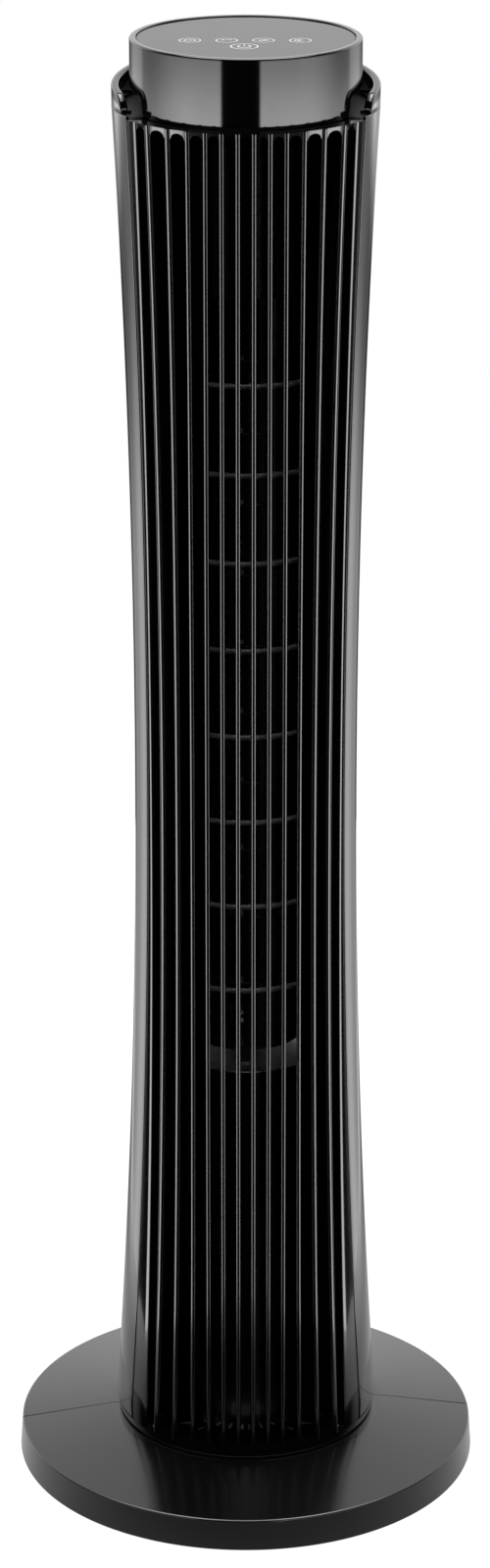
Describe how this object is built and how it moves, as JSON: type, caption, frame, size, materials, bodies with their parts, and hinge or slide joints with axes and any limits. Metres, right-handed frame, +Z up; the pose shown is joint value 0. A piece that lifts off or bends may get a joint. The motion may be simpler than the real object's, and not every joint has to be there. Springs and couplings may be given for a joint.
{
  "type": "tower fan",
  "caption": "Slim waisted tower fan on a round base: slatted front outlet, touch panel on top, cross-flow wheel inside and a column that swings from side to side.",
  "frame": {"origin": "on the floor under the column's axis, at the centre of the base", "axes": "+Z up along the column, front of the fan towards -Y, +X to the right seen from the front"},
  "size_m": [0.3116, 0.3131, 0.98],
  "materials": {
    "base_plastic": "satin-gloss moulded black",
    "gloss_shell": "polished piano black",
    "grille_plastic": "polished black",
    "satin_plastic": "fine satin black",
    "touch_panel": "hard-coated gloss black with thin light grey icons",
    "rubber": "matte",
    "steel": "zinc plated",
    "zinc_sheet": "galvanised sheet",
    "lamination_steel": "stacked laminations",
    "bronze": "sintered",
    "gear_plastic": "natural acetal",
    "wheel_plastic": "glass-filled black",
    "aluminium": "turned",
    "circuit_board": "solder mask green",
    "capacitor_sleeve": "film sleeve"
  },
  "bodies": {
    "stand": {"base_front_half": "base_plastic", "base_rear_half": "base_plastic", "rubber_feet": "rubber", "cord_gland": "satin_plastic", "swivel_seat": "steel", "lock_nut": "zinc_sheet", "bearing_cage": "satin_plastic", "bearing_balls": "steel", "base_screws": "steel", "gear_screws": "steel", "oscillation_gear": "gear_plastic"},
    "column": {"column_foot": "satin_plastic", "rear_housing": "gloss_shell", "rear_grille": "grille_plastic", "front_grille": "grille_plastic", "duct_front": "grille_plastic", "shoulder_cap": "gloss_shell", "top_deck": "satin_plastic", "head_shell": "gloss_shell", "head_screws": "steel", "control_panel": "touch_panel", "control_board": "circuit_board", "touch_pads": "rubber", "buzzer": "capacitor_sleeve", "motor_bracket": "zinc_sheet", "top_bearing_bracket": "zinc_sheet", "bearing_rubber": "rubber", "bearing_bush": "bronze", "air_scroll": "satin_plastic", "vortex_tongue": "satin_plastic", "motor_case": "zinc_sheet", "motor_stator": "lamination_steel", "motor_bearings": "bronze", "motor_grommets": "rubber", "motor_screws": "steel", "board_bracket": "satin_plastic", "power_board": "circuit_board", "run_capacitor": "capacitor_sleeve", "housing_screws": "steel", "stepper_bracket": "zinc_sheet", "stepper_motor": "zinc_sheet", "stepper_screws": "steel"},
    "rotor": {"fan_wheel": "wheel_plastic", "wheel_hub": "aluminium", "hub_setscrew": "steel", "motor_shaft": "steel", "motor_rotor": "lamination_steel", "top_pin": "steel"},
    "pinion": {"oscillation_pinion": "gear_plastic", "stepper_shaft": "steel"}
  },
  "joints": [
    {"name": "column_swing", "type": "hinge", "parent": "stand", "child": "column", "pos_m": [0, 0, 0.035], "axis": [0, 0, 1], "range_deg": [-35, 35]},
    {"name": "wheel_spin", "type": "hinge", "parent": "column", "child": "rotor", "pos_m": [0, 0.008, 0.5], "axis": [0, 0, 1], "continuous": true},
    {"name": "pinion_spin", "type": "hinge", "parent": "column", "child": "pinion", "pos_m": [0, 0.048, 0.04], "axis": [0, 0, 1], "range_deg": [-106, 106]}
  ],
  "couplings": [
    {"joint": "pinion_spin", "follows": "column_swing", "ratio": 3}
  ]
}
